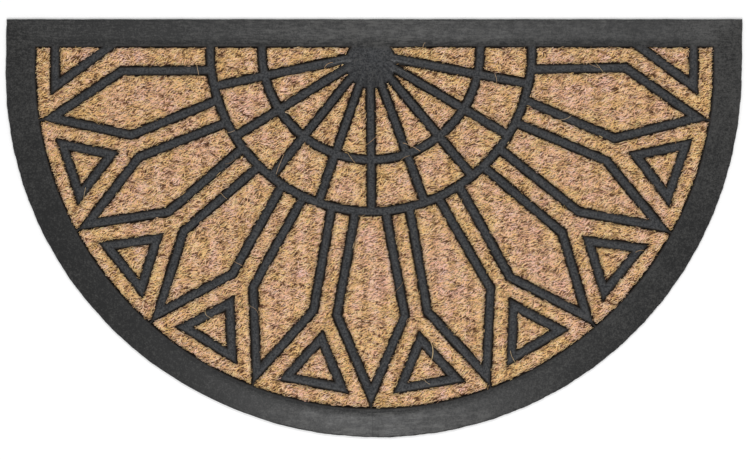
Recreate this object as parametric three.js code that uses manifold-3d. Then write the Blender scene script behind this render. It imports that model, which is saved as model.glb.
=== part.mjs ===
// Half round coir doormat: one woven coir sheet held in one rubber moulding.
// The rubber is the back, the sloping border and a fan of ribs pressed into the coir.
//
// Millimetres, +Z up. The straight edge lies towards +Y and the round edge towards -Y.
// The origin is on the underside, at the middle of the mat.

import * as THREE from 'three';
import { mergeVertices } from 'three/addons/utils/BufferGeometryUtils.js';
import Module from 'manifold-3d';

const wasm = await Module();
wasm.setup();

// Outline: a half circle with a straight band above it
const matWidth = 700;
const matDepth = 398;
const borderWidth = 28;
const straightShare = 0.955; // the border is a little narrower along the straight edge
const outlineSteps = 96;

// Heights above the surface that the mat lies on
const backTop = 2;
const edgeHeight = 3.6;
const ribFoot = 5;
const rubberTop = 7.5;
const coirTop = 8;

// The border slopes from its trimmed edge up to a level land beside the coir,
// where the ribs run into it
const edgeBevel = 1.2;
const landWidth = 6;
const ribLap = 3;

// Clearance between the coir and the rubber
const gap = 0.3;

// Slivers left by joining are cleared up to this size
const simplifyTo = 0.01;

// Fan of ribs: its hub sits just below the straight border, a little left of the middle.
// Drops are measured from the straight edge and turns from straight down.
const hubX = -4.1;
const hubDrop = 33.2;
const ribWidth = 8.4;
const spokeCount = 9;
const pitch = THREE.MathUtils.degToRad(19.7);
const spokeTurn = THREE.MathUtils.degToRad(0.5);
const petalTurn = THREE.MathUtils.degToRad(0.15);

// Rubber fills the narrow ends between the spokes
const web = { x: -3.6, drop: 42, radius: 24.3 };

// Two half rings cross the spokes
const ring = { x: -3.2, drop: 30, radii: [103.8, 153] };
const ringSteps = 48;

// Petals, one past the end of each spoke: angles from its own middle, and shares of the way
// from the hub to the border. The petals aren't all equally wide.
const petal = {
  footAngle: THREE.MathUtils.degToRad(5.5),
  footDistance: 151,
  waistAngles: [7.4, 7, 7.2, 7.1, 7.4, 7.3, 7.5, 6.4, 8].map(THREE.MathUtils.degToRad),
  waistShare: 0.744,
  tipShare: 0.965,
  neckWidth: 2.4, // a narrow neck joins each tip to the border
};

// Triangles, one between each two petals
const triangle = {
  halfAngle: THREE.MathUtils.degToRad(4.83),
  apexShare: 0.817,
  baseShare: 0.947,
};

// Half a triangle in each top corner, from the mat's middle line to its bend and its inner end
const cornerRib = { outer: 303.5, inner: 252.3, drop: 64 };

// Studs through the coir hold the triangles to the back
const studRadius = 3.2;
const studSides = 8;

const halfWidth = matWidth / 2;
const straightEdge = matDepth / 2;
const circleY = halfWidth - matDepth / 2;
const innerRadius = halfWidth - borderWidth;
const innerStraight = straightEdge - straightShare * borderWidth;
const hubY = straightEdge - hubDrop;

// ---------------------------------------------------------------- flat outlines

// The mat's outline drawn in by a distance all round: the round edge, then two corners
function matOutline(inset) {
  const radius = halfWidth - inset;
  const points = [];
  for (let step = 0; step <= outlineSteps; step += 1) {
    const angle = Math.PI * (1 + step / outlineSteps);
    points.push(new THREE.Vector2(radius * Math.cos(angle), circleY + radius * Math.sin(angle)));
  }
  points.push(new THREE.Vector2(radius, straightEdge - straightShare * inset));
  points.push(new THREE.Vector2(-radius, straightEdge - straightShare * inset));
  return points;
}

// A point of the fan: an angle from straight down and a distance from the hub
function fanPoint(angle, distance) {
  return new THREE.Vector2(hubX + distance * Math.sin(angle), hubY - distance * Math.cos(angle));
}

// How far it is from the hub to the inside of the round border
function reach(angle) {
  const rise = hubY - circleY;
  const along = rise * Math.cos(angle) - hubX * Math.sin(angle);
  return along + Math.sqrt(along * along + innerRadius * innerRadius - rise * rise - hubX * hubX);
}

// A line moved sideways by a distance, with mitred corners
function offsetLine(points, distance, closed) {
  const last = points.length - 1;
  return points.map((point, index) => {
    const before = points[index > 0 ? index - 1 : last];
    const after = points[index < last ? index + 1 : 0];
    const into = point.clone().sub(before).normalize();
    const out = after.clone().sub(point).normalize();
    const first = !closed && index === 0 ? out : into;
    const second = !closed && index === last ? into : out;
    const normalA = new THREE.Vector2(-first.y, first.x);
    const normalB = new THREE.Vector2(-second.y, second.x);
    const mitre = normalA.clone().add(normalB).normalize();
    return point.clone().addScaledVector(mitre, distance / mitre.dot(normalA));
  });
}

// The outline of a rib laid along a line that has two ends
function ribShape(points, width) {
  const left = offsetLine(points, width / 2, false);
  const right = offsetLine(points, -width / 2, false);
  return new THREE.Shape([...left, ...right.reverse()]);
}

// The outline of a rib laid around a closed line
function loopShape(points, width) {
  const shape = new THREE.Shape(offsetLine(points, -width / 2, true));
  shape.holes.push(new THREE.Path(offsetLine(points, width / 2, true)));
  return shape;
}

// ---------------------------------------------------------------- solids

function solidOf(geometry) {
  geometry.deleteAttribute('normal');
  geometry.deleteAttribute('uv');
  const welded = mergeVertices(geometry);
  return new wasm.Manifold(new wasm.Mesh({
    numProp: 3,
    vertProperties: new Float32Array(welded.attributes.position.array),
    triVerts: new Uint32Array(welded.index.array),
  }));
}

function meshOf(name, solid, material) {
  const { vertProperties, triVerts } = solid.simplify(simplifyTo).getMesh();
  const geometry = new THREE.BufferGeometry();
  geometry.setAttribute('position', new THREE.BufferAttribute(vertProperties, 3));
  geometry.setIndex(new THREE.BufferAttribute(triVerts, 1));
  geometry.computeVertexNormals();
  const mesh = new THREE.Mesh(geometry, material);
  mesh.name = name;
  return mesh;
}

// A flat shape given thickness between two heights
function slab(shape, bottom, top, curveSegments = 1) {
  const options = { depth: top - bottom, bevelEnabled: false, curveSegments };
  const geometry = new THREE.ExtrudeGeometry(shape, options);
  geometry.translate(0, 0, bottom);
  return solidOf(geometry);
}

// The back and the border in one: the mat's outline at each inset and height of a profile,
// skinned from one to the next and capped at both ends
function tray() {
  const profile = [
    { inset: 0, height: 0 },
    { inset: 0, height: edgeHeight - edgeBevel },
    { inset: edgeBevel, height: edgeHeight },
    { inset: borderWidth - landWidth, height: rubberTop },
    { inset: borderWidth, height: rubberTop },
    { inset: borderWidth, height: backTop },
  ];
  const loops = profile.map(({ inset }) => matOutline(inset));
  const count = loops[0].length;
  const position = profile.flatMap(({ height }, row) => loops[row].flatMap(({ x, y }) => [x, y, height]));
  const index = [];
  for (let row = 0; row < profile.length - 1; row += 1) {
    for (let i = 0; i < count; i += 1) {
      const next = (i + 1) % count;
      const low = row * count;
      const high = low + count;
      index.push(low + i, low + next, high + next, low + i, high + next, high + i);
    }
  }
  const underside = THREE.ShapeUtils.triangulateShape(loops[0], []);
  const floor = THREE.ShapeUtils.triangulateShape(loops.at(-1), []);
  const floorStart = (profile.length - 1) * count;
  underside.forEach(([a, b, c]) => index.push(c, b, a));
  floor.forEach(([a, b, c]) => index.push(floorStart + a, floorStart + b, floorStart + c));
  const geometry = new THREE.BufferGeometry();
  geometry.setAttribute('position', new THREE.Float32BufferAttribute(position, 3));
  geometry.setIndex(index);
  return solidOf(geometry);
}

// ---------------------------------------------------------------- the fan

const evenAngles = Array.from(
  { length: spokeCount },
  (_, index) => (index - (spokeCount - 1) / 2) * pitch,
);
const spokeAngles = evenAngles.map((angle) => angle + spokeTurn);
const petalAngles = evenAngles.map((angle) => angle + petalTurn);
const triangleAngles = petalAngles.slice(1).map((angle) => angle - pitch / 2);

function triangleCorners(angle) {
  const { halfAngle, apexShare, baseShare } = triangle;
  return [
    fanPoint(angle, apexShare * reach(angle)),
    fanPoint(angle - halfAngle, baseShare * reach(angle - halfAngle)),
    fanPoint(angle + halfAngle, baseShare * reach(angle + halfAngle)),
  ];
}

function hubWeb(extra, bottom, top) {
  const shape = new THREE.Shape();
  shape.absarc(web.x, straightEdge - web.drop, web.radius + extra, 0, 2 * Math.PI, false);
  return slab(shape, bottom, top, ringSteps / 2);
}

function halfRing(radius, width, bottom, top) {
  const centreY = straightEdge - ring.drop;
  const past = Math.asin((innerStraight + 2 * ribLap - centreY) / radius);
  const start = -Math.PI - past;
  const end = past;
  const shape = new THREE.Shape();
  shape.absarc(ring.x, centreY, radius + width / 2, start, end, false);
  shape.absarc(ring.x, centreY, radius - width / 2, end, start, true);
  return slab(shape, bottom, top, ringSteps);
}

function spoke(angle, width, bottom, top) {
  const line = [fanPoint(angle, 0), fanPoint(angle, petal.footDistance)];
  return slab(ribShape(line, width), bottom, top);
}

function petalRib(angle, waistAngle, width, bottom, top) {
  const { footAngle, footDistance, waistShare, tipShare } = petal;
  const foot = (side) => fanPoint(angle + side * footAngle, footDistance);
  const waist = (side) => {
    const turned = angle + side * waistAngle;
    return fanPoint(turned, waistShare * reach(turned));
  };
  const tip = fanPoint(angle, tipShare * reach(angle));
  const line = [foot(-1), waist(-1), tip, waist(1), foot(1)];
  return slab(ribShape(line, width), bottom, top);
}

function petalNeck(angle, extra, bottom, top) {
  const line = [fanPoint(angle, petal.tipShare * reach(angle)), fanPoint(angle, reach(angle) + ribLap)];
  return slab(ribShape(line, petal.neckWidth + 2 * extra), bottom, top);
}

function triangleRib(angle, width, bottom, top) {
  return slab(loopShape(triangleCorners(angle), width), bottom, top);
}

// The two sides of a half triangle run on into the straight border
function cornerRibs(side, width, bottom, top) {
  const { outer, inner, drop } = cornerRib;
  const bend = new THREE.Vector2(side * outer, straightEdge - drop);
  const inwards = new THREE.Vector2(side * inner, innerStraight).sub(bend);
  const innerEnd = bend.clone().addScaledVector(inwards, 1.2);
  const outerEnd = new THREE.Vector2(side * outer, innerStraight + 2 * ribLap);
  return slab(ribShape([innerEnd, bend, outerEnd], width), bottom, top);
}

// All the ribs as one solid, drawn out on each side by a clearance and cut off in the border
function fan(extra, bottom, top) {
  const width = ribWidth + 2 * extra;
  const field = slab(new THREE.Shape(matOutline(borderWidth - ribLap)), bottom, top);
  const pieces = [
    hubWeb(extra, bottom, top),
    ...ring.radii.map((radius) => halfRing(radius, width, bottom, top)),
    ...spokeAngles.map((angle) => spoke(angle, width, bottom, top)),
    ...petalAngles.map((angle, index) => petalRib(angle, petal.waistAngles[index], width, bottom, top)),
    ...petalAngles.map((angle) => petalNeck(angle, extra, bottom, top)),
    ...triangleAngles.map((angle) => triangleRib(angle, width, bottom, top)),
    cornerRibs(-1, width, bottom, top),
    cornerRibs(1, width, bottom, top),
  ];
  return pieces.reduce((whole, piece) => whole.add(piece)).intersect(field);
}

// One stud under each corner of each triangle
function studs(extra, bottom, top) {
  const height = top - bottom;
  const radius = studRadius + extra;
  return triangleAngles.flatMap(triangleCorners).map(({ x, y }) => {
    const geometry = new THREE.CylinderGeometry(radius, radius, height, studSides);
    geometry.rotateX(Math.PI / 2);
    geometry.translate(x, y, bottom + height / 2);
    return solidOf(geometry);
  });
}

// ---------------------------------------------------------------- the two pieces

function rubberMoulding() {
  const ribs = fan(0, ribFoot, rubberTop);
  const pins = studs(0, backTop / 2, (ribFoot + rubberTop) / 2);
  const material = new THREE.MeshStandardMaterial({ color: '#3f4042', roughness: 0.78, metalness: 0 });
  const solid = pins.reduce((whole, pin) => whole.add(pin), tray().add(ribs));
  return meshOf('rubber_moulding', solid, material);
}

function coirSheet() {
  const sheet = slab(new THREE.Shape(matOutline(borderWidth + gap)), backTop + gap, coirTop);
  const grooves = fan(gap, ribFoot - gap, coirTop + 1);
  const holes = studs(gap, backTop, ribFoot);
  const material = new THREE.MeshStandardMaterial({ color: '#b98f66', roughness: 0.95, metalness: 0 });
  const solid = holes.reduce((whole, hole) => whole.subtract(hole), sheet.subtract(grooves));
  return meshOf('coir_sheet', solid, material);
}

const group = new THREE.Group();
group.add(rubberMoulding(), coirSheet());

export default group;
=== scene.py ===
# Half round coir doormat seen from straight above on a pale floor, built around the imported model
import math

import bmesh
import bpy
import numpy as np
from mathutils import Matrix, Vector
from mathutils.bvhtree import BVHTree


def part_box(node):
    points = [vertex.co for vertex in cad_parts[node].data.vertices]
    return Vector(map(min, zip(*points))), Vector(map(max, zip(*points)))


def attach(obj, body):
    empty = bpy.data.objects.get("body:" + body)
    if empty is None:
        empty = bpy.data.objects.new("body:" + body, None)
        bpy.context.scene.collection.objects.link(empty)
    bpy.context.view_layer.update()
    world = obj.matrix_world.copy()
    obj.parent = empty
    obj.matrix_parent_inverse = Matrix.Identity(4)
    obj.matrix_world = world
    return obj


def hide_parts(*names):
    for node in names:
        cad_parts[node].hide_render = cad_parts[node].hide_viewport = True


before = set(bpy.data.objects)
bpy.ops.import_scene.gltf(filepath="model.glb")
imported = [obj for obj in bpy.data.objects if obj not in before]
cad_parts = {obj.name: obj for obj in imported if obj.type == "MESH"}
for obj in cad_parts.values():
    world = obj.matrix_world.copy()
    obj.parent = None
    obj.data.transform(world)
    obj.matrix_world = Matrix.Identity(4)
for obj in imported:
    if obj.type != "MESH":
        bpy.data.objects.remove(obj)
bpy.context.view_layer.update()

rubberLow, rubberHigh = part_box("rubber_moulding")
coirLow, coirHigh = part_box("coir_sheet")
scene = bpy.context.scene

# the outline is a half disc with short straight sides up to its long straight edge
outerRadius = rubberHigh.x
centreY = rubberLow.y + outerRadius


# camera, floor and lamps

view = {
    "lens": 250.0,
    "sensor": 36.0,
    "fieldWidth": 0.7129,   # how much of the floor the picture spans from side to side
    "aimX": 0.0005,
    "aimY": -0.0016,
}
studio = {
    "worldLight": 0.5,
    "frontLamp": {"place": (-0.04, -1.1, 2.1), "size": (0.75, 0.5), "power": 22},
    "backLamp": {"place": (0.15, 1.15, 2.1), "size": (0.75, 0.5), "power": 12},
    "floorColour": (0.9, 0.9, 0.9, 1),
    "floorWhite": 0.14,     # lifts the lit floor to white for the camera, and keeps the shadow
    "floorSize": 30,
    "floorDrop": 0.0002,
    "floorRoughness": 0.9,
}


def makeCamera():
    data = bpy.data.cameras.new("camera")
    data.lens = view["lens"]
    data.sensor_width = view["sensor"]
    camera = bpy.data.objects.new("camera", data)
    scene.collection.objects.link(camera)
    distance = view["fieldWidth"] * view["lens"] / view["sensor"]
    camera.location = (view["aimX"], view["aimY"], rubberHigh.z + distance)
    scene.camera = camera


def makeLamp(name, place, size, power):
    data = bpy.data.lights.new(name, "AREA")
    data.shape = "RECTANGLE"
    data.size, data.size_y = size
    data.energy = power
    lamp = bpy.data.objects.new(name, data)
    scene.collection.objects.link(lamp)
    lamp.location = place
    lamp.rotation_euler = (-Vector(place)).to_track_quat("-Z", "Y").to_euler()


def addNode(tree, kind, inputs=None, **settings):
    node = tree.nodes.new(kind)
    for name, value in settings.items():
        setattr(node, name, value)
    for name, value in (inputs or {}).items():
        if isinstance(value, bpy.types.NodeSocket):
            tree.links.new(value, node.inputs[name])
        else:
            node.inputs[name].default_value = value
    return node


def makeWorld():
    # plain soft light, and white where the camera or a reflection sees past the floor
    world = bpy.data.worlds.new("world")
    scene.world = world
    world.use_nodes = True
    tree = world.node_tree
    path = addNode(tree, "ShaderNodeLightPath")
    seen = path.outputs["Is Camera Ray"]
    for ray in ("Is Glossy Ray", "Is Transmission Ray"):
        inputs = {0: seen, 1: path.outputs[ray]}
        seen = addNode(tree, "ShaderNodeMath", inputs, operation="MAXIMUM").outputs[0]
    levels = {"Value": seen, "To Min": studio["worldLight"], "To Max": 1.0}
    strength = addNode(tree, "ShaderNodeMapRange", levels)
    background = tree.nodes["Background"]
    background.inputs["Color"].default_value = (1, 1, 1, 1)
    tree.links.new(strength.outputs["Result"], background.inputs["Strength"])


def makeFloor():
    bpy.ops.mesh.primitive_plane_add(size=studio["floorSize"], location=(0, 0, -studio["floorDrop"]))
    floor = bpy.context.object
    floor.name = "floor"
    material = bpy.data.materials.new("floor")
    material.use_nodes = True
    tree = material.node_tree
    surface = tree.nodes["Principled BSDF"]
    surface.inputs["Base Color"].default_value = studio["floorColour"]
    surface.inputs["Roughness"].default_value = studio["floorRoughness"]
    surface.inputs["Emission Color"].default_value = (1, 1, 1, 1)
    path = addNode(tree, "ShaderNodeLightPath")
    levels = {"Value": path.outputs["Is Camera Ray"], "To Max": studio["floorWhite"]}
    lift = addNode(tree, "ShaderNodeMapRange", levels)
    tree.links.new(lift.outputs["Result"], surface.inputs["Emission Strength"])
    floor.data.materials.append(material)


scene.view_settings.view_transform = "Standard"
makeCamera()
makeWorld()
makeLamp("frontLamp", **studio["frontLamp"])
makeLamp("backLamp", **studio["backLamp"])
makeFloor()
print("camera, lamps and floor set")


# what the pieces share

mergeDistance = 2e-6
cutDistance = 1e-6
topLevel = rubberHigh.z - 1e-5    # above this a point is on the flat top of the rubber
wallTilt = 0.1                    # a face whose normal rises less than this is a wall


def finishPiece(piece, material, node=None):
    piece.data.materials.append(material)
    piece.data.shade_smooth()
    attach(piece, "root")
    if node:
        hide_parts(node)


def pieceFromBmesh(name, bm):
    mesh = bpy.data.meshes.new(name)
    bm.to_mesh(mesh)
    bm.free()
    piece = bpy.data.objects.new(name, mesh)
    scene.collection.objects.link(piece)
    return piece


def mergedCopy(node):
    bm = bmesh.new()
    bm.from_mesh(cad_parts[node].data)
    bmesh.ops.remove_doubles(bm, verts=bm.verts, dist=mergeDistance)
    return bm


def writeAttribute(piece, name, values):
    attribute = piece.data.attributes.new(name, "FLOAT", "POINT")
    attribute.data.foreach_set("value", np.asarray(values, dtype=np.float32))


def smoothStep(low, high, value):
    share = np.clip((value - low) / (high - low), 0, 1)
    return share * share * (3 - 2 * share)


# shader groups that more than one material uses

def startGroup(name, inputs, outputs):
    group = bpy.data.node_groups.new(name, "ShaderNodeTree")
    for label, kind, value in inputs:
        socket = group.interface.new_socket(label, in_out="INPUT", socket_type=kind)
        if value is not None:
            socket.default_value = value
    for label, kind in outputs:
        group.interface.new_socket(label, in_out="OUTPUT", socket_type=kind)
    return group, addNode(group, "NodeGroupInput").outputs, addNode(group, "NodeGroupOutput").inputs


def makePatchGroup():
    # soft patches of about a size, with a value between two levels
    group, given, result = startGroup(
        "softPatches",
        [
            ("Vector", "NodeSocketVector", None),
            ("Size", "NodeSocketFloat", 0.02),
            ("Stretch", "NodeSocketVector", (1, 1, 1)),
            ("Low", "NodeSocketFloat", 0.0),
            ("High", "NodeSocketFloat", 1.0),
        ],
        [("Value", "NodeSocketFloat")],
    )
    spread = addNode(
        group, "ShaderNodeVectorMath", {0: given["Vector"], 1: given["Stretch"]}, operation="DIVIDE"
    )
    scale = addNode(group, "ShaderNodeMath", {0: 1.0, 1: given["Size"]}, operation="DIVIDE")
    noise = addNode(
        group, "ShaderNodeTexNoise",
        {"Vector": spread.outputs[0], "Scale": scale.outputs[0], "Detail": 3.0, "Roughness": 0.55},
    )
    value = addNode(
        group, "ShaderNodeMapRange",
        {
            "Value": noise.outputs["Fac"], "From Min": 0.32, "From Max": 0.68,
            "To Min": given["Low"], "To Max": given["High"],
        },
    )
    group.links.new(value.outputs["Result"], result["Value"])
    return group


def makeGrainGroup():
    # a fine rough skin, as a normal
    group, given, result = startGroup(
        "fineGrain",
        [
            ("Vector", "NodeSocketVector", None),
            ("Size", "NodeSocketFloat", 0.001),
            ("Depth", "NodeSocketFloat", 0.0001),
        ],
        [("Normal", "NodeSocketVector")],
    )
    scale = addNode(group, "ShaderNodeMath", {0: 1.0, 1: given["Size"]}, operation="DIVIDE")
    noise = addNode(
        group, "ShaderNodeTexNoise", {"Vector": given["Vector"], "Scale": scale.outputs[0], "Detail": 4.0}
    )
    bump = addNode(group, "ShaderNodeBump", {"Height": noise.outputs["Fac"], "Distance": given["Depth"]})
    group.links.new(bump.outputs["Normal"], result["Normal"])
    return group


patchGroup = makePatchGroup()
grainGroup = makeGrainGroup()


def patchValue(tree, vector, size, low, high, stretch=(1, 1, 1)):
    node = tree.nodes.new("ShaderNodeGroup")
    node.node_tree = patchGroup
    tree.links.new(vector, node.inputs["Vector"])
    for name, value in (("Size", size), ("Low", low), ("High", high), ("Stretch", stretch)):
        node.inputs[name].default_value = value
    return node.outputs["Value"]


def grainNormal(tree, vector, size, depth):
    node = tree.nodes.new("ShaderNodeGroup")
    node.node_tree = grainGroup
    tree.links.new(vector, node.inputs["Vector"])
    node.inputs["Size"].default_value = size
    node.inputs["Depth"].default_value = depth
    return node.outputs["Normal"]


def mathNode(tree, operation, first, second):
    return addNode(tree, "ShaderNodeMath", {0: first, 1: second}, operation=operation).outputs[0]


def addUp(tree, first, second):
    return mathNode(tree, "ADD", first, second)


def multiply(tree, first, second):
    return mathNode(tree, "MULTIPLY", first, second)


def withoutSign(tree, value):
    return mathNode(tree, "ABSOLUTE", value, 0.0)


def rampValue(tree, value, start, end, low=0.0, high=1.0):
    inputs = {"Value": value, "From Min": start, "From Max": end, "To Min": low, "To Max": high}
    return addNode(tree, "ShaderNodeMapRange", inputs).outputs["Result"]


def mixColour(tree, factor, first, second, blend="MIX"):
    inputs = {"Factor": factor, "A": first, "B": second}
    return addNode(tree, "ShaderNodeMix", inputs, data_type="RGBA", blend_type=blend).outputs["Result"]


def readAttribute(tree, name):
    return addNode(tree, "ShaderNodeAttribute", attribute_name=name).outputs["Fac"]


def newMaterial(name):
    material = bpy.data.materials.new(name)
    material.use_nodes = True
    tree = material.node_tree
    place = addNode(tree, "ShaderNodeTexCoord").outputs["Object"]
    return material, tree, tree.nodes["Principled BSDF"], place


# how far each spot is from the walls of the rubber: above 0 in the coir, below 0 in the rubber

gauge = {
    "step": 0.001,
    "margin": 0.004,
    "level": 0.0065,    # height at which the distance to the walls is taken
    "floor": 0.0045,    # rubber above this is border, hub or rib, and below it is the back
}


def gaugeClearance():
    bm = mergedCopy("rubber_moulding")
    rubber = BVHTree.FromBMesh(bm)
    others = [
        face for face in bm.faces
        if abs(face.normal.z) > wallTilt or max(vert.co.z for vert in face.verts) < gauge["level"]
    ]
    bmesh.ops.delete(bm, geom=others, context="FACES")
    walls = BVHTree.FromBMesh(bm)
    bm.free()
    margin, step = gauge["margin"], gauge["step"]
    xs = np.arange(coirLow.x - margin, coirHigh.x + margin, step)
    ys = np.arange(coirLow.y - margin, coirHigh.y + margin, step)
    down = Vector((0, 0, -1))
    grid = np.empty((len(xs), len(ys)))
    for column, x in enumerate(xs):
        for row, y in enumerate(ys):
            distance = walls.find_nearest(Vector((x, y, gauge["level"])))[3]
            hit = rubber.ray_cast(Vector((x, y, 1)), down)[0]
            covered = hit is None or hit.z > gauge["floor"]
            grid[column, row] = -distance if covered else distance
    return grid


clearanceGrid = gaugeClearance()
print("clearances gauged", clearanceGrid.shape)


def readGrid(grid, u, v):
    u = np.clip(u, 0, grid.shape[0] - 1.001)
    v = np.clip(v, 0, grid.shape[1] - 1.001)
    column, row = u.astype(int), v.astype(int)
    across, along = u - column, v - row
    near = grid[column, row] * (1 - across) + grid[column + 1, row] * across
    far = grid[column, row + 1] * (1 - across) + grid[column + 1, row + 1] * across
    return near * (1 - along) + far * along


def clearance(x, y):
    u = (x - coirLow.x + gauge["margin"]) / gauge["step"]
    v = (y - coirLow.y + gauge["margin"]) / gauge["step"]
    return readGrid(clearanceGrid, u, v)


patchCells = (160, 100)    # of the grid that soft patches are drawn on


def softPatches(x, y, size, seed):
    # light and dark patches of about a size, from -1 to 1
    grid = np.random.default_rng(seed).uniform(-1, 1, patchCells)
    return readGrid(grid, x / size + patchCells[0] / 2, y / size + patchCells[1] / 2)


# rubber moulding

moulding = {
    "shortest": 0.0009,       # edges along the ribs below this are closed up
    "flatAngle": 0.15,        # degrees between faces that count as one
    "rimRadius": 0.0011,
    "rimSteps": 3,
    "crestRadius": 0.004,     # the soft bend between the flat land and the sloping border
    "crestSteps": 3,
    "crownDrop": 0.0004,      # the ribs are a little lower along their sides
    "crownWidth": 0.0030,
    "edgeStep": 0.0027,       # spacing of the points along the trimmed edge
    "cornerGap": 0.0065,      # no cut comes nearer than this to a corner of the crest
    "cutMargin": 0.004,       # the cuts across the border stop this far short of the coir
    "arcParts": 12,           # the round border is cut part by part, each a little past its ends
    "arcOverlap": 0.05,
    # tilts are how far a face's normal rises: 0 on a wall, 1 on the flat
    "borderTilt": (-0.5, 0.995),
    "crestTilt": (0.9, 0.995),
    "rimTilt": 0.2,
    "flatTilt": 0.999,
    "flatGap": 1e-4,          # a flat face no further than this below the top belongs to it
    "waveRise": 0.0006,       # the round edge stands out this far on average
    "waveHeight": 0.00115,    # how far it wanders off its circle, and how often in a full turn
    "waveTurns": 3.43,
    "waveStart": 157,
    "trimDepth": 0.0015,      # points nearer to the outline than this move with the trimmed edge
    # waves in the trimmed edge: height, rate and start
    "trimming": ((0.00016, 95, 0.4), (0.00013, 231, 2.1), (0.00009, 517, 4.0), (0.00006, 1130, 1.0)),
    "straightTrim": 0.4,      # share of the trimming along the straight edge
    "hub": (-0.0041, 0.1658),
    "hubReach": 0.046,
    "hubFade": 0.030,         # the ridges flatten out between here and the reach
    "cellStep": 0.0017,
    "spokes": 9,
    "spokePitch": 19.7,
    "spokeTurn": 0.5,
    "ridgeWidth": 0.0042,
    "valleyDepth": 0.0013,
    "borderWidth": 0.028,
    "landDepth": 0.0218,      # where the flat land inside the sloping border begins
    "ribFade": (0.002, 0.009),  # from border to rib, as distances in from there
    "outside": 9,             # how far in, in mm, a point counts that is not on the top
    "slopeDepths": (0.0012, 0.022),
    "slopeHeights": (0.0036, 0.0075),
}


def borderDepth(x, y):
    # how far in from the outline a point lies
    if y < centreY:
        return outerRadius - math.hypot(x, y - centreY)
    return min(outerRadius - abs(x), rubberHigh.y - y)


def closeShortEdges(bm):
    top = [vert for vert in bm.verts if vert.co.z > topLevel]
    walled = [
        vert for vert in top
        if any(abs(face.normal.z) < wallTilt for face in vert.link_faces)
    ]
    bmesh.ops.remove_doubles(bm, verts=walled, dist=moulding["shortest"])
    angle = math.radians(moulding["flatAngle"])
    bmesh.ops.dissolve_limit(bm, angle_limit=angle, verts=bm.verts, edges=bm.edges)


def cutAcross(bm, faces, point, normal):
    geom = set(faces)
    for face in faces:
        geom.update(face.edges)
        geom.update(face.verts)
    cut = bmesh.ops.bisect_plane(
        bm, geom=list(geom), dist=cutDistance, plane_co=point, plane_no=normal
    )
    return [piece for piece in cut["geom"] if isinstance(piece, bmesh.types.BMFace)]


def divideBorder(bm):
    # the border is cut across at close steps, so that its trimmed edge can be uneven
    lowTilt, highTilt = moulding["borderTilt"]

    def borderFaces(kind):
        found = []
        for face in bm.faces:
            middle = face.calc_center_median()
            across, depth = face.normal, borderDepth(*middle.xy)
            if depth < moulding["borderWidth"] - moulding["cutMargin"] and lowTilt < across.z < highTilt:
                if middle.y < centreY:
                    place = "arc"
                else:
                    place = "top" if across.y > abs(across.x) else "side"
                if place == kind:
                    found.append(face)
        return found

    def clearOf(places, corner):
        return [place for place in places if abs(abs(place) - corner) > moulding["cornerGap"]]

    step = moulding["edgeStep"]
    crestDepth = moulding["slopeDepths"][1]
    faces = borderFaces("top")
    for x in clearOf(np.arange(step - outerRadius, outerRadius, step), outerRadius - crestDepth):
        faces = cutAcross(bm, faces, (x, 0, 0), (1, 0, 0))
    faces = borderFaces("side")
    for y in clearOf(np.arange(centreY + step, rubberHigh.y, step), rubberHigh.y - crestDepth):
        faces = cutAcross(bm, faces, (0, y, 0), (0, 1, 0))
    turns = np.arange(-math.pi, 0, step / outerRadius)[1:]
    arc = borderFaces("arc")
    overlap = moulding["arcOverlap"]
    for part in np.array_split(turns, moulding["arcParts"]):
        faces = []
        for face in arc:
            middle = face.calc_center_median()
            turn = math.atan2(middle.y - centreY, middle.x)
            if part[0] - overlap < turn < part[-1] + overlap:
                faces.append(face)
        for turn in part:
            across = (-math.sin(turn), math.cos(turn), 0)
            faces = cutAcross(bm, faces, (0, centreY, 0), across)
        arc = borderFaces("arc")


def edgeShift(x, y):
    # how far the trimmed edge lies off its true line, and which way is out
    along = x + 2 * y
    notch = sum(height * math.sin(rate * along + start) for height, rate, start in moulding["trimming"])
    if y > rubberHigh.y - moulding["trimDepth"]:
        return Vector((0, moulding["straightTrim"] * notch, 0))
    out = Vector((x, min(y - centreY, 0), 0)).normalized()
    turn = math.degrees(math.atan2(out.y, out.x))
    turn = turn - 360 if turn > 1 else turn    # the left side counts as -180
    wave = math.cos(math.radians(moulding["waveTurns"] * (turn + moulding["waveStart"])))
    wave = moulding["waveRise"] + moulding["waveHeight"] * wave
    fade = 1 - max(y - centreY, 0) / (rubberHigh.y - centreY)
    return out * (wave * fade + notch)


def unevenEdge(bm):
    for vert in bm.verts:
        if borderDepth(*vert.co.xy) < moulding["trimDepth"]:
            vert.co += edgeShift(*vert.co.xy)


def roundEdges(bm, edges, radius, steps, strength):
    bmesh.ops.bevel(
        bm, geom=edges, offset=radius, offset_type="OFFSET", segments=steps, profile=0.5,
        affect="EDGES", material=-1, face_strength_mode=strength,
    )


def roundCrest(bm):
    lowTilt, highTilt = moulding["crestTilt"]
    crest = [
        edge for edge in bm.edges
        if min(vert.co.z for vert in edge.verts) > topLevel
        and lowTilt < min(face.normal.z for face in edge.link_faces) < highTilt
    ]
    roundEdges(bm, crest, moulding["crestRadius"], moulding["crestSteps"], "ALL")


def roundRims(bm):
    rim = [
        edge for edge in bm.edges
        if min(vert.co.z for vert in edge.verts) > topLevel
        and min(abs(face.normal.z) for face in edge.link_faces) < moulding["rimTilt"]
    ]
    roundEdges(bm, rim, moulding["rimRadius"], moulding["rimSteps"], "AFFECTED")


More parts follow.
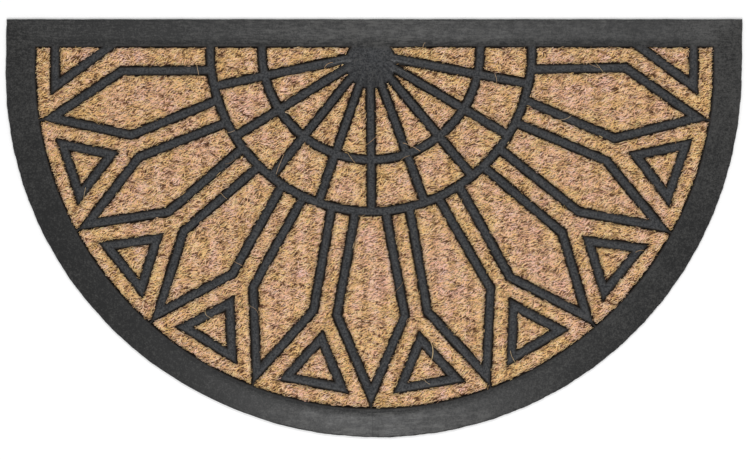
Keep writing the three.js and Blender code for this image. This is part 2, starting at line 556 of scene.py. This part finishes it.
def cutTop(bm):
    # the flat top of the rubber over the coir is cut into small cells, so that it can be shaped
    geom = set()
    for face in bm.faces:
        height = face.calc_center_median().z
        if face.normal.z > moulding["flatTilt"] and height > rubberHigh.z - moulding["flatGap"]:
            geom.update([face, *face.edges, *face.verts])
    for axis in (0, 1):
        across = Vector((axis == 0, axis == 1, 0))
        for place in np.arange(coirLow[axis], coirHigh[axis], moulding["cellStep"]):
            cut = bmesh.ops.bisect_plane(
                bm, geom=list(geom), dist=cutDistance, plane_co=across * place, plane_no=across
            )
            geom = cut["geom"]


def crownDrop(x, y):
    return moulding["crownDrop"] * (1 - smoothStep(0, moulding["crownWidth"], -clearance(x, y)))


def valleyShare(x, y):
    # near the hub each spoke keeps its crown: 0 on the crowns, 1 in the valleys between them
    hubX, hubY = moulding["hub"]
    radius = math.hypot(x - hubX, y - hubY)
    turn = math.degrees(math.atan2(x - hubX, hubY - y)) - moulding["spokeTurn"]
    outermost = (moulding["spokes"] - 1) / 2 * moulding["spokePitch"]
    if abs(turn) > outermost or radius > moulding["hubReach"]:
        return 0
    nearest = round(turn / moulding["spokePitch"]) * moulding["spokePitch"]
    side = radius * abs(math.sin(math.radians(turn - nearest)))
    share = min(side / moulding["ridgeWidth"], 1)
    fade = (moulding["hubReach"] - radius) / (moulding["hubReach"] - moulding["hubFade"])
    return share * share * min(fade, 1)


def shapeTop(bm):
    # also notes what is rib, how far in from its wall a point is, and how deep in a valley of the hub
    rib, inside, valley = (bm.verts.layers.float.new(name) for name in ("rib", "inside", "valley"))
    xs, ys = np.array([vert.co.xy for vert in bm.verts]).T
    for vert, depth, drop in zip(bm.verts, -clearance(xs, ys), crownDrop(xs, ys)):
        within = borderDepth(*vert.co.xy) - moulding["landDepth"]
        if within < 0 or vert.co.z < rubberHigh.z - 3 * moulding["rimRadius"]:
            vert[inside] = moulding["outside"]
            continue
        vert[rib] = float(smoothStep(*moulding["ribFade"], within))
        vert[inside] = depth * 1000
        vert[valley] = valleyShare(*vert.co.xy)
        vert.co.z -= drop + moulding["valleyDepth"] * vert[valley]


# patches are written as their size and their lowest and highest value, and a change from place to
# place as where it starts and ends and the values there, in mm where it is measured from a rib's wall
rubberFinish = {
    "bare": (0.0135, 0.0137, 0.0139, 1),
    # the colour of dust, also used as painted side light on the right and upper sides
    "dustAndSideLight": (0.062, 0.061, 0.059, 1),
    "slate": ((0.008, 0.009, 0.011, 1), (0.066, 0.070, 0.077, 1)),    # the fine mottling of the ribs
    "slatePatches": (0.0016, -0.25, 1.25),
    "slateShare": 0.7,
    "joint": (0.008, 0.008, 0.008, 1),
    "jointX": -0.0019,
    "jointWidth": (0.0007, 0.0002),
    "jointFrom": (-0.173, -0.176, 0.0, 0.7),
    "specks": (0.070, 0.060, 0.048, 1),
    "speckPatches": (0.0016, -0.9, 1.0),
    "speckled": (0.012, 0.1, 0.5),
    # painted shade along the sides of the ribs, mixed with coir stain
    "stainAndShade": (0.009, 0.0065, 0.0045, 1),
    "stainedAndShaded": (2.4, 0.9, 0.0, 0.8),
    # painted shade in the valleys of the hub
    "valley": (0.008, 0.008, 0.009, 1),
    "valleyShare": 0.6,
    "dustPatches": ((0.007, 0.20), (0.0030, 0.55), (0.0014, 0.75)),    # size and strength of each
    "broadDust": (0.03, -0.05, 0.12),
    # painted side light: the border is lightened towards the right and at the upper sides
    "sideLightToRight": (-0.32, 0.35, 0.0, 0.22),
    "sideLightToSides": (0.27, 0.33),
    "sideLightUpwards": (0.0, 0.11, 0.0, 0.25),
    "streaks": (0.0016, -0.25, 0.35, (6, 1, 1)),
    "streaked": (0.12, 0.17),
    "scuffs": (0.003, -1.4, 1.8, (4, 1, 1)),
    "scuffedMiddle": (0.20, 0.03),
    "scuffedRound": (-0.168, -0.176),
    "scuffedStraight": (0.150, 0.172),
    "scuffStrength": 0.5,
    "scuffedDust": 0.11,
    "roughPatches": (0.010, 0.29, 0.37),
    "roughSides": (2.0, 0.8, 0.0, 0.3),
    "gloss": 0.16,
    "grain": (0.0014, 0.00009),
}


def dustAndSideLightShare(tree, place, spot):
    # dust lies in patches, and the same colour lightens the right and the upper sides as painted side
    # light
    upperSides = multiply(
        tree, rampValue(tree, withoutSign(tree, spot["X"]), *rubberFinish["sideLightToSides"]),
        rampValue(tree, spot["Y"], *rubberFinish["sideLightUpwards"]),
    )
    toRight = rampValue(tree, spot["X"], *rubberFinish["sideLightToRight"])
    dustAndSideLight = addUp(tree, toRight, patchValue(tree, place, *rubberFinish["broadDust"]))
    dustAndSideLight = addUp(tree, dustAndSideLight, upperSides)
    for size, height in rubberFinish["dustPatches"]:
        dustAndSideLight = addUp(tree, dustAndSideLight, patchValue(tree, place, size, -height / 2, height / 2))
    # the straight border is streaked along its length
    streaks = patchValue(tree, place, *rubberFinish["streaks"])
    streaked = rampValue(tree, spot["Y"], *rubberFinish["streaked"])
    dustAndSideLight = addUp(tree, dustAndSideLight, multiply(tree, streaks, streaked))
    # the middle of the round and of the straight border is scuffed
    middle = rampValue(tree, withoutSign(tree, spot["X"]), *rubberFinish["scuffedMiddle"])
    border = addUp(
        tree, rampValue(tree, spot["Y"], *rubberFinish["scuffedRound"]),
        rampValue(tree, spot["Y"], *rubberFinish["scuffedStraight"]),
    )
    scuffs = patchValue(tree, place, *rubberFinish["scuffs"])
    scuffs = multiply(tree, mathNode(tree, "MAXIMUM", scuffs, 0.0), rubberFinish["scuffStrength"])
    scuffs = addUp(tree, scuffs, rubberFinish["scuffedDust"])
    return addUp(tree, dustAndSideLight, multiply(tree, multiply(tree, middle, border), scuffs))


def rubberMaterial():
    material, tree, surface, place = newMaterial("dustyRubber")
    spot = addNode(tree, "ShaderNodeSeparateXYZ", {"Vector": place}).outputs
    rib, inside, valley = (readAttribute(tree, name) for name in ("rib", "inside", "valley"))
    dustAndSideLight = dustAndSideLightShare(tree, place, spot)
    # dust, and painted side light on the right and upper sides
    colour = mixColour(tree, dustAndSideLight, rubberFinish["bare"], rubberFinish["dustAndSideLight"])
    mottling = patchValue(tree, place, *rubberFinish["slatePatches"])
    slate = mixColour(tree, mottling, *rubberFinish["slate"])
    colour = mixColour(tree, multiply(tree, rib, rubberFinish["slateShare"]), colour, slate)
    # the line where the mould closed crosses the round border
    joint = withoutSign(tree, addUp(tree, spot["X"], -rubberFinish["jointX"]))
    joint = rampValue(tree, joint, *rubberFinish["jointWidth"])
    joint = multiply(tree, joint, rampValue(tree, spot["Y"], *rubberFinish["jointFrom"]))
    colour = mixColour(tree, joint, colour, rubberFinish["joint"])
    # specks of coir dust on the ribs and the hub
    specks = patchValue(tree, place, *rubberFinish["speckPatches"])
    specks = mathNode(tree, "MAXIMUM", specks, 0.0)
    speckled = multiply(tree, rib, patchValue(tree, place, *rubberFinish["speckled"]))
    colour = mixColour(tree, multiply(tree, specks, speckled), colour, rubberFinish["specks"])
    # the sides of the ribs are darker, painted shade mixed with coir stain, and the valleys of the hub
    # are darker with painted shade
    stainedAndShaded = rampValue(tree, inside, *rubberFinish["stainedAndShaded"])
    colour = mixColour(tree, stainedAndShaded, colour, rubberFinish["stainAndShade"])
    # painted shade in the valleys of the hub
    depth = multiply(tree, valley, rubberFinish["valleyShare"])
    colour = mixColour(tree, depth, colour, rubberFinish["valley"])
    tree.links.new(colour, surface.inputs["Base Color"])
    roughness = addUp(
        tree, patchValue(tree, place, *rubberFinish["roughPatches"]),
        rampValue(tree, inside, *rubberFinish["roughSides"]),
    )
    tree.links.new(roughness, surface.inputs["Roughness"])
    surface.inputs["Specular IOR Level"].default_value = rubberFinish["gloss"]
    tree.links.new(grainNormal(tree, place, *rubberFinish["grain"]), surface.inputs["Normal"])
    return material


def makeMoulding():
    bm = mergedCopy("rubber_moulding")
    closeShortEdges(bm)
    divideBorder(bm)
    unevenEdge(bm)
    roundCrest(bm)
    roundRims(bm)
    cutTop(bm)
    shapeTop(bm)
    print("rubber moulding triangles", sum(len(face.verts) - 2 for face in bm.faces))
    piece = pieceFromBmesh("rubberMoulding", bm)
    finishPiece(piece, rubberMaterial(), "rubber_moulding")
    normals = piece.modifiers.new("evenNormals", "WEIGHTED_NORMAL")
    normals.use_face_influence = True


makeMoulding()


# coir sheet: columns of tall floats, with lower floats between them

weave = {
    "columnStep": 0.0170,     # from one column of tall floats to the next
    "rowStep": 0.00737,       # from one float to the next in a column
    "tall": {"shift": 0.0, "top": 0.0081, "length": 0.37, "width": 0.52},
    "low": {"shift": 0.5, "top": 0.0075, "length": 0.31, "width": 0.46},
    "pit": 0.0070,
    "columnJitter": 0.04,     # how unevenly the floats are placed, long and high
    "rowJitter": 0.09,
    "lengthJitter": 0.08,
    "topJitter": 0.0003,
    # waves in the lines of the weave: height, turns across and along, and start
    "alongWaves": ((0.0016, 0, 9, 1.3), (0.0009, 14, 31, 0), (0.0012, 17, 0, 0.4)),
    "acrossWaves": ((0.0010, 12, 0, 0.7), (0.0006, 37, 11, 2), (0.0009, 0, 15, 0)),
    "trenchFloor": 0.0038,    # the coir dips beside the rubber, along a line that wanders
    "trenchEnd": 0.0012,
    "trenchCurve": 0.6,
    "trenchWander": 0.0005,
    "wanderSize": 0.005,
    "sheetStep": 0.0018,
    "bed": 0.0004,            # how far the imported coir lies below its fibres
}
siteCount = (48, 64)    # columns and rows of floats, more than the sheet holds
# for each float: 0 and 2 shift it, 1 is its length, 3 its height and hue, 4 its lean, 5 its shade
siteJitter = np.random.default_rng(11).normal(0, 1, (2, *siteCount, 6))


def drift(x, y):
    # the rows and columns of the weave wander a little
    def waves(kind):
        return sum(
            height * np.sin(turnsX * x + turnsY * y + start)
            for height, turnsX, turnsY, start in weave[kind]
        )

    return waves("alongWaves"), waves("acrossWaves")


def weaveHeight(x, y):
    driftX, driftY = drift(x, y)
    u = (x + driftX) / weave["columnStep"] + siteCount[0] / 2
    v = (y + driftY) / weave["rowStep"] + siteCount[1] / 2
    height = np.full(x.shape, weave["pit"])
    for number, kind in enumerate(("tall", "low")):
        shape = weave[kind]
        column = np.clip(np.round(u - shape["shift"]).astype(int), 0, siteCount[0] - 1)
        row = np.clip(np.round(v - shape["shift"]).astype(int), 0, siteCount[1] - 1)
        jitter = siteJitter[number, column, row]
        length = shape["length"] * (1 + weave["lengthJitter"] * jitter[..., 1])
        du = (u - shape["shift"] - column - weave["columnJitter"] * jitter[..., 0]) / length
        dv = (v - shape["shift"] - row - weave["rowJitter"] * jitter[..., 2]) / shape["width"]
        dome = np.sqrt(np.clip(1 - du * du - dv * dv, 0, 1))
        rise = shape["top"] + weave["topJitter"] * jitter[..., 3] - weave["pit"]
        height = np.maximum(height, weave["pit"] + rise * dome)
    return height


def freeWidth(x, y):
    # the clearance, give or take some for the raggedness of the coir
    return clearance(x, y) + weave["trenchWander"] * softPatches(x, y, weave["wanderSize"], 7)


def coirHeight(x, y):
    rise = smoothStep(0, weave["trenchEnd"], freeWidth(x, y)) ** weave["trenchCurve"]
    return weave["trenchFloor"] + (weaveHeight(x, y) - weave["trenchFloor"]) * rise


def rubberHeight(x, y):
    # the rubber is a little lower beside the coir, and its border slopes down to the edge
    depth = np.where(
        y < centreY, outerRadius - np.hypot(x, y - centreY),
        np.minimum(outerRadius - np.abs(x), rubberHigh.y - y),
    )
    return np.interp(depth, moulding["slopeDepths"], moulding["slopeHeights"]) - crownDrop(x, y)


def insideSheet(x, y, margin=0.0):
    radius = coirHigh.x - margin
    inRound = (y > centreY) | (np.hypot(x, y - centreY) < radius)
    return (y < coirHigh.y - margin) & (np.abs(x) < radius) & inRound


def fitToOutline(bm):
    # the stepped edge of the grid is drawn out to the sheet's outline
    reach = 1.5 * weave["sheetStep"]
    for vert in bm.verts:
        if not vert.is_boundary:
            continue
        if vert.co.y < centreY:
            centre = Vector((0, centreY, 0))
            vert.co = centre + (vert.co - centre).normalized() * coirHigh.x
        else:
            if vert.co.y > coirHigh.y - reach:
                vert.co.y = coirHigh.y
            if abs(vert.co.x) > coirHigh.x - reach:
                vert.co.x = math.copysign(coirHigh.x, vert.co.x)


shadedPackedCoir = {
    # the coir under the fibres is coloured darker than they are, as painted shade
    "colours": ((0.115, 0.050, 0.026, 1), (0.28, 0.132, 0.070, 1)),
    "streaks": (0.0011, 0.0, 0.6, (6, 1, 1)),
    "patches": (0.02, 0.0, 0.3),
    # painted shade in the pits
    "pit": (0.09, 0.040, 0.020, 1),
    "pitShade": (0.6, 0.0),       # over the height, which is 0 in the pits and 1 on the tall floats
    # painted shade in the trench beside the rubber
    "trench": (0.02, 0.014, 0.009, 1),
    "trenchShade": (1.5, 0.5),
    "roughness": 0.9,
    "gloss": 0.2,
    "grain": (0.0009, 0.0003),
}


def coirMaterial():
    # the imported coir down between the fibres, coloured darker than them as painted shade, and darker
    # still in the pits and beside the rubber
    material, tree, surface, place = newMaterial("shadedPackedCoir")
    tone = addUp(
        tree, patchValue(tree, place, *shadedPackedCoir["streaks"]),
        patchValue(tree, place, *shadedPackedCoir["patches"]),
    )
    colour = mixColour(tree, tone, *shadedPackedCoir["colours"])
    # painted shade in the pits and in the trench beside the rubber
    pit = rampValue(tree, readAttribute(tree, "height"), *shadedPackedCoir["pitShade"])
    colour = mixColour(tree, pit, colour, shadedPackedCoir["pit"])
    trench = rampValue(tree, readAttribute(tree, "clearance"), *shadedPackedCoir["trenchShade"])
    colour = mixColour(tree, trench, colour, shadedPackedCoir["trench"])
    tree.links.new(colour, surface.inputs["Base Color"])
    surface.inputs["Roughness"].default_value = shadedPackedCoir["roughness"]
    surface.inputs["Specular IOR Level"].default_value = shadedPackedCoir["gloss"]
    tree.links.new(grainNormal(tree, place, *shadedPackedCoir["grain"]), surface.inputs["Normal"])
    return material


def makeCoirSheet():
    step = weave["sheetStep"]
    columns = math.ceil(coirHigh.x / step) * 2
    rows = math.ceil((coirHigh.y - coirLow.y) / step)
    bm = bmesh.new()
    bmesh.ops.create_grid(bm, x_segments=columns, y_segments=rows, size=0.5)
    bmesh.ops.scale(bm, verts=bm.verts, vec=(columns * step, rows * step, 1))
    bmesh.ops.translate(bm, verts=bm.verts, vec=(0, (coirLow.y + coirHigh.y) / 2, 0))
    away = [face for face in bm.faces if not insideSheet(*face.calc_center_median().xy)]
    bmesh.ops.delete(bm, geom=away, context="FACES")
    fitToOutline(bm)
    xs, ys = np.array([vert.co.xy for vert in bm.verts]).T
    for vert, height in zip(bm.verts, coirHeight(xs, ys) - weave["bed"]):
        vert.co.z = height
    rim = [edge for edge in bm.edges if edge.is_boundary]
    for made in bmesh.ops.extrude_edge_only(bm, edges=rim)["geom"]:
        if isinstance(made, bmesh.types.BMVert):
            made.co.z = coirLow.z
    bmesh.ops.contextual_create(bm, geom=[edge for edge in bm.edges if edge.is_boundary])
    bmesh.ops.recalc_face_normals(bm, faces=bm.faces)
    print("coir sheet triangles", sum(len(face.verts) - 2 for face in bm.faces))
    xs, ys, zs = np.array([vert.co for vert in bm.verts]).T
    piece = pieceFromBmesh("coirSheet", bm)
    fullRise = weave["tall"]["top"] - weave["pit"]
    writeAttribute(piece, "clearance", freeWidth(xs, ys) * 1000)
    writeAttribute(piece, "height", (zs + weave["bed"] - weave["pit"]) / fullRise)
    finishPiece(piece, coirMaterial(), "coir_sheet")
    return piece


coirSheet = makeCoirSheet()


# coir fibres: a strand is made once, and every fibre is that strand laid along its own path

fibre = {
    # the tall floats' lighter tone is partly painted shade, as they lie higher than the low ones
    "tall": {
        "count": 33, "spread": 0.0088, "length": 0.0054, "thickness": 0.00078, "tone": 0.71, "hue": 0.56,
    },
    "low": {
        "count": 29, "spread": 0.0088, "length": 0.0054, "thickness": 0.00078, "tone": 0.49, "hue": 0.44,
    },
    "goldenShare": 0.618,  # each fibre of a float starts this share of the slide past the last
    "slide": 0.0085,       # how far the fibres of a float are set out along it
    "slideSpread": 0.0004,
    "sideSpread": 0.00015,
    "bow": 0.0014,
    "lengthSpread": 0.2,
    "thicknessSpread": 0.2,
    "dark": 0.12,          # share of short dark fibres among them
    "darkLength": 0.6,
    "darkTone": 0.44,
    "lean": 24,            # degrees, up to the right
    "floatLean": 10,       # spread of the lean from float to float and from fibre to fibre
    "fibreLean": 26,
    "lift": 0.0002,        # how high the fibres lie on the weave, and how much that varies
    "liftSpread": 0.00016,
    "keepOff": 0.0005,     # how far most fibres stay from the rubber, and how much that varies
    "keepOffSpread": 0.0004,
    "floatTone": 0.03,     # spread of the shade from float to float, with height and in each fibre
    # fibres that lie higher are drawn lighter, as painted shade
    "liftShade": 0.05,
    "toneSpread": 0.26,
    "floatHue": 0.08,
    "hueSpread": 0.25,
    "checks": 17,          # places along a fibre that are tested against the rubber
    "shortest": 0.0018,
    "dive": 0.0005,        # how far the tips of a fibre dip back into the mat
    "near": 0.006,         # floats are made up to this far outside the sheet
    "overRubber": (0.0007, 0.0001),    # clearances over which a fibre climbs onto the rubber
    "tonePatches": ((0.030, 0.05, 3), (0.011, 0.05, 4)),    # size, strength and seed of each
    "huePatches": ((0.024, 0.19, 5), (0.009, 0.35, 6)),
    "yellowReach": (0.012, 0.004),     # the coir is yellower within these clearances
    "yellowNear": 0.24,
    "pieces": 5,
    "stations": (-0.6, 0.6),           # where along it the strand has a ring of points
}
hair = {
    "lean": 42,
    "bow": 0.0012,
    "thickness": (0.0003, 0.0005),
    "lift": (0.0003, 0.0010),
    "keepOffSpread": 0.0003,
    "spread": 0.2,         # of tone and of hue
    "hue": 0.5,
    "stations": (-0.7, 0.0, 0.7),
}
looseHair = {"count": 3800, "tone": 0.6, "halfLength": (0.003, 0.007)}
edgeHair = {
    "count": 1000, "tries": 20, "keepOff": -0.0010, "tone": 0.42, "halfLength": (0.0014, 0.0040),
    "clearances": (0.0004, 0.0026),
}
strayFibre = {
    "count": 26, "tries": 12, "keepOff": -1.0, "tone": 0.6, "halfLength": (0.005, 0.012),
    "clearances": (-0.004, 0.002),
    "bow": 0.003,
    "hues": (0.1, 0.4),
    "stations": np.linspace(-0.96, 0.96, 17),
    # the longest one lies over the leg of a triangle, right of the middle
    "longest": {
        "x": 0.0555, "y": -0.120, "angle": 1.45, "bow": 0.0042, "halfLength": 0.0135,
        "thickness": 0.0009, "tone": 0.85, "hue": 0.1,
    },
}


def makeStrand(stations):
    # a thin three-sided strand along X from -1 to 1, closed to a point at each end
    bm = bmesh.new()
    ring = bmesh.ops.create_circle(bm, segments=3, radius=1)["verts"]
    bmesh.ops.rotate(bm, verts=ring, matrix=Matrix.Rotation(math.pi / 2, 3, "Y"))
    bmesh.ops.translate(bm, verts=ring, vec=(stations[0], 0, 0))
    start = list(bm.edges)
    end = start
    for before, after in zip(stations, stations[1:]):
        made = bmesh.ops.extrude_edge_only(bm, edges=end)["geom"]
        verts = [piece for piece in made if isinstance(piece, bmesh.types.BMVert)]
        bmesh.ops.translate(bm, verts=verts, vec=(after - before, 0, 0))
        end = [edge for edge in bm.edges if all(vert in verts for vert in edge.verts)]
    for loop, tipX in ((start, -1), (end, 1)):
        cap = bmesh.ops.contextual_create(bm, geom=loop)["faces"]
        tip = bmesh.ops.poke(bm, faces=cap)["verts"][0]
        tip.co = (tipX, 0, 0)
    bmesh.ops.recalc_face_normals(bm, faces=bm.faces)
    bmesh.ops.triangulate(bm, faces=bm.faces)
    bm.verts.index_update()
    points = np.array([vert.co for vert in bm.verts])
    faces = np.array([[vert.index for vert in face.verts] for face in bm.faces])
    bm.free()
    return points, faces


def pathPoint(paths, along):
    # the place on each path at a share of its half length, from -1 to 1
    off = paths["side"] + paths["bow"] * along * along
    reach = along * paths["halfLength"]
    x = paths["x"] + reach * np.cos(paths["angle"]) - off * np.sin(paths["angle"])
    y = paths["y"] + reach * np.sin(paths["angle"]) + off * np.cos(paths["angle"])
    return x, y


def takePaths(paths, keep):
    return {name: values[keep] for name, values in paths.items()}


def clipPaths(paths):
    # each fibre keeps the longest run of itself that stays off the rubber
    stations = np.linspace(-1, 1, fibre["checks"])
    count = len(paths["x"])
    runStart = np.zeros(count, int)
    first = np.zeros(count, int)
    last = np.full(count, -1)
    for index, along in enumerate(stations):
        x, y = pathPoint(paths, along)
        free = freeWidth(x, y) > paths["keepOff"]
        runStart = np.where(free, runStart, index + 1)
        longer = free & (index - runStart > last - first)
        first = np.where(longer, runStart, first)
        last = np.where(longer, index, last)
    paths["from"] = stations[first]
    paths["to"] = stations[last]
    length = (paths["to"] - paths["from"]) * paths["halfLength"]
    return takePaths(paths, (last > first) & (length > fibre["shortest"]))


def floatPaths(kind, random):
    # the fibres of each float lie side by side across it, set out along it by the golden ratio
    shape, place = fibre[kind], weave[kind]
    column, row = np.indices(siteCount).reshape(2, -1)
    jitter = siteJitter[0 if kind == "tall" else 1].reshape(-1, 6)
    u = column + place["shift"] + weave["columnJitter"] * jitter[:, 0] - siteCount[0] / 2
    v = row + place["shift"] + weave["rowJitter"] * jitter[:, 2] - siteCount[1] / 2
    x = u * weave["columnStep"]
    y = v * weave["rowStep"]
    driftX, driftY = drift(x, y)
    x, y = x - driftX, y - driftY
    near = insideSheet(x, y, -fibre["near"])
    x, y, jitter = x[near, None], y[near, None], jitter[near]
    size = (len(x), shape["count"])
    order = np.arange(shape["count"])
    slide = (fibre["goldenShare"] * order + random.random((len(x), 1))) % 1 - 0.5
    lift, lean, bow = random.normal(0, 1, (3, *size))
    shares = (order + 0.5) / shape["count"] - 0.5
    dark = random.random(size) < fibre["dark"]

    def scatter(spread):
        return random.normal(0, spread, size)

    def varied(spread):
        return 1 + spread * random.normal(0, 1, size)

    darkLength = np.where(dark, fibre["darkLength"], 1)
    # tone rises with the float's kind and a fibre's lift, partly painted shade by height
    tone = shape["tone"] + fibre["floatTone"] * jitter[:, 5:6] + fibre["liftShade"] * lift
    turn = fibre["lean"] + fibre["floatLean"] * jitter[:, 4:5] + fibre["fibreLean"] * lean
    # the random numbers are drawn in the order of these lines
    paths = {
        "x": x + fibre["slide"] * slide + scatter(fibre["slideSpread"]),
        "y": y + np.zeros(size),
        "side": shares * shape["spread"] + scatter(fibre["sideSpread"]),
        "bow": fibre["bow"] * bow,
        "halfLength": shape["length"] / 2 * varied(fibre["lengthSpread"]) * darkLength,
        "angle": np.radians(turn),
        "thickness": shape["thickness"] * varied(fibre["thicknessSpread"]),
        "lift": fibre["lift"] + fibre["liftSpread"] * lift,
        "keepOff": random.normal(fibre["keepOff"], fibre["keepOffSpread"], size),
        "tone": tone + scatter(fibre["toneSpread"]) - fibre["darkTone"] * dark,
        "hue": shape["hue"] + fibre["floatHue"] * jitter[:, 3:4] + scatter(fibre["hueSpread"]),
    }
    return clipPaths({name: values.ravel() for name, values in paths.items()})


def hairPaths(random, count, keepOff, tone, halfLength):
    paths = {
        "x": random.uniform(coirLow.x, coirHigh.x, count),
        "y": random.uniform(coirLow.y, coirHigh.y, count),
        "side": np.zeros(count),
        "bow": random.normal(0, hair["bow"], count),
        "halfLength": random.uniform(*halfLength, count),
        "angle": np.radians(fibre["lean"] + hair["lean"] * random.normal(0, 1, count)),
        "thickness": random.uniform(*hair["thickness"], count),
        "lift": random.uniform(*hair["lift"], count),
        "keepOff": keepOff + random.normal(0, hair["keepOffSpread"], count),
        "tone": tone + random.normal(0, hair["spread"], count),
        "hue": hair["hue"] + random.normal(0, hair["spread"], count),
    }
    return takePaths(paths, insideSheet(paths["x"], paths["y"]))


def loosePaths(random):
    paths = hairPaths(
        random, looseHair["count"], fibre["keepOff"], looseHair["tone"], looseHair["halfLength"]
    )
    return clipPaths(paths)


def pathsNearRubber(random, kind):
    # the first ones, out of many tries, whose middle lies at the right clearance
    tries = kind["tries"] * kind["count"]
    paths = hairPaths(random, tries, kind["keepOff"], kind["tone"], kind["halfLength"])
    gap = clearance(paths["x"], paths["y"])
    low, high = kind["clearances"]
    paths = takePaths(paths, (gap > low) & (gap < high))
    return takePaths(paths, slice(0, kind["count"]))


def edgePaths(random):
    # hairs that stand out over the rims of the ribs
    return clipPaths(pathsNearRubber(random, edgeHair))


def strayPaths(random):
    # long pale fibres that have come loose and lie across the ribs and the border
    paths = pathsNearRubber(random, strayFibre)
    count = strayFibre["count"]
    paths["angle"] = random.uniform(0, math.pi, count)
    paths["bow"] = random.normal(0, strayFibre["bow"], count)
    paths["thickness"] = random.uniform(*hair["thickness"], count)
    paths["hue"] = random.uniform(*strayFibre["hues"], count)
    for name, value in strayFibre["longest"].items():
        paths[name][0] = value
    return clipPaths(paths)


def layFibres(name, paths, strand, material, dive=0.0):
    points, faces = strand
    along, across, up = points.T
    wide = {key: values[:, None] for key, values in paths.items()}
    share = wide["from"] + (along + 1) / 2 * (wide["to"] - wide["from"])
    x, y = pathPoint(wide, share)
    # fibres that reach the rubber lie on top of it
    height = coirHeight(x, y) + wide["lift"] - dive * along ** 4
    radius = wide["thickness"] / 2
    over = (rubberHeight(x, y) + radius) * smoothStep(*fibre["overRubber"], clearance(x, y))
    z = np.maximum(height, over)
    x = x - radius * across * np.sin(wide["angle"])
    y = y + radius * across * np.cos(wide["angle"])
    z = z + radius * up
    starts = np.arange(len(paths["x"]))[:, None, None] * len(points)
    mesh = bpy.data.meshes.new(name)
    mesh.from_pydata(np.stack([x, y, z], axis=2).reshape(-1, 3), [], (faces + starts).reshape(-1, 3))
    piece = bpy.data.objects.new(name, mesh)
    scene.collection.objects.link(piece)
    for attribute in ("tone", "hue"):
        writeAttribute(piece, attribute, np.repeat(paths[attribute], len(points)))
    writeAttribute(piece, "clearance", clearance(x, y).ravel() * 1000)
    finishPiece(piece, material)
    print(name, "fibres", len(paths["x"]), "triangles", len(mesh.polygons))
    return piece


def shadePaths(paths):
    # uneven dyeing and drying across the mat, and a yellower coir close to the ribs
    x, y = paths["x"], paths["y"]
    near = smoothStep(*fibre["yellowReach"], clearance(x, y))
    tone, hue = paths["tone"], paths["hue"]
    for size, strength, seed in fibre["tonePatches"]:
        tone = tone + strength * softPatches(x, y, size, seed)
    for size, strength, seed in fibre["huePatches"]:
        hue = hue + strength * softPatches(x, y, size, seed)
    hue = hue - fibre["yellowNear"] * near
    paths["tone"] = np.clip(tone, 0, 1)
    paths["hue"] = np.clip(hue, 0, 1)
    return paths


fibreFinish = {
    "dark": (0.255, 0.132, 0.068, 1),
    "middle": (0.96, 0.588, 0.366, 1),
    "light": (1.0, 0.745, 0.55, 1),
    "tints": ((0.99, 1.027, 0.69, 1), (1.018, 0.985, 1.19, 1)),    # yellower and browner
    "mottling": (0.0015, -0.07, 0.07),
    # painted shade on fibres close beside the rubber, with some stain
    "stainAndShade": (0.125, 0.107, 0.066, 1),
    "stainedAndShaded": (4.2, 1.4, 0.0, 0.33),
    "roughness": 0.7,
    "gloss": 0.3,
    "grain": (0.0004, 0.00006),
}


def fibreMaterial():
    material, tree, surface, place = newMaterial("coirFibre")
    mottling = patchValue(tree, place, *fibreFinish["mottling"])
    tone = addUp(tree, readAttribute(tree, "tone"), mottling)
    ramp = addNode(tree, "ShaderNodeValToRGB", {"Fac": tone})
    stops = ramp.color_ramp.elements
    stops[0].position, stops[0].color = 0.0, fibreFinish["dark"]
    stops[1].position, stops[1].color = 1.0, fibreFinish["light"]
    stops.new(0.5).color = fibreFinish["middle"]
    tint = mixColour(tree, readAttribute(tree, "hue"), *fibreFinish["tints"])
    colour = mixColour(tree, 1.0, ramp.outputs["Color"], tint, "MULTIPLY")
    # fibres close beside the rubber are darkened, painted shade with some stain
    stainedAndShaded = rampValue(tree, readAttribute(tree, "clearance"), *fibreFinish["stainedAndShaded"])
    colour = mixColour(tree, stainedAndShaded, colour, fibreFinish["stainAndShade"])
    tree.links.new(colour, surface.inputs["Base Color"])
    surface.inputs["Roughness"].default_value = fibreFinish["roughness"]
    surface.inputs["Specular IOR Level"].default_value = fibreFinish["gloss"]
    tree.links.new(grainNormal(tree, place, *fibreFinish["grain"]), surface.inputs["Normal"])
    return material


def makeFibres():
    random = np.random.default_rng(23)
    strand, thinStrand = makeStrand(fibre["stations"]), makeStrand(hair["stations"])
    longStrand = makeStrand(strayFibre["stations"])
    material = fibreMaterial()
    kinds = [floatPaths("tall", random), floatPaths("low", random)]
    paths = shadePaths({name: np.concatenate([kind[name] for kind in kinds]) for name in kinds[0]})
    order = np.argsort(paths["x"], kind="stable")
    pieces = [
        layFibres(f"coirPile_{index + 1}", takePaths(paths, part), strand, material, fibre["dive"])
        for index, part in enumerate(np.array_split(order, fibre["pieces"]))
    ]
    loose = shadePaths(loosePaths(random))
    pieces.append(layFibres("looseHairs", loose, thinStrand, material))
    edge = shadePaths(edgePaths(random))
    pieces.append(layFibres("edgeHairs", edge, thinStrand, material))
    pieces.append(layFibres("strayFibres", strayPaths(random), longStrand, material))
    return pieces


piles = makeFibres()
print("coir sheet and fibres made")
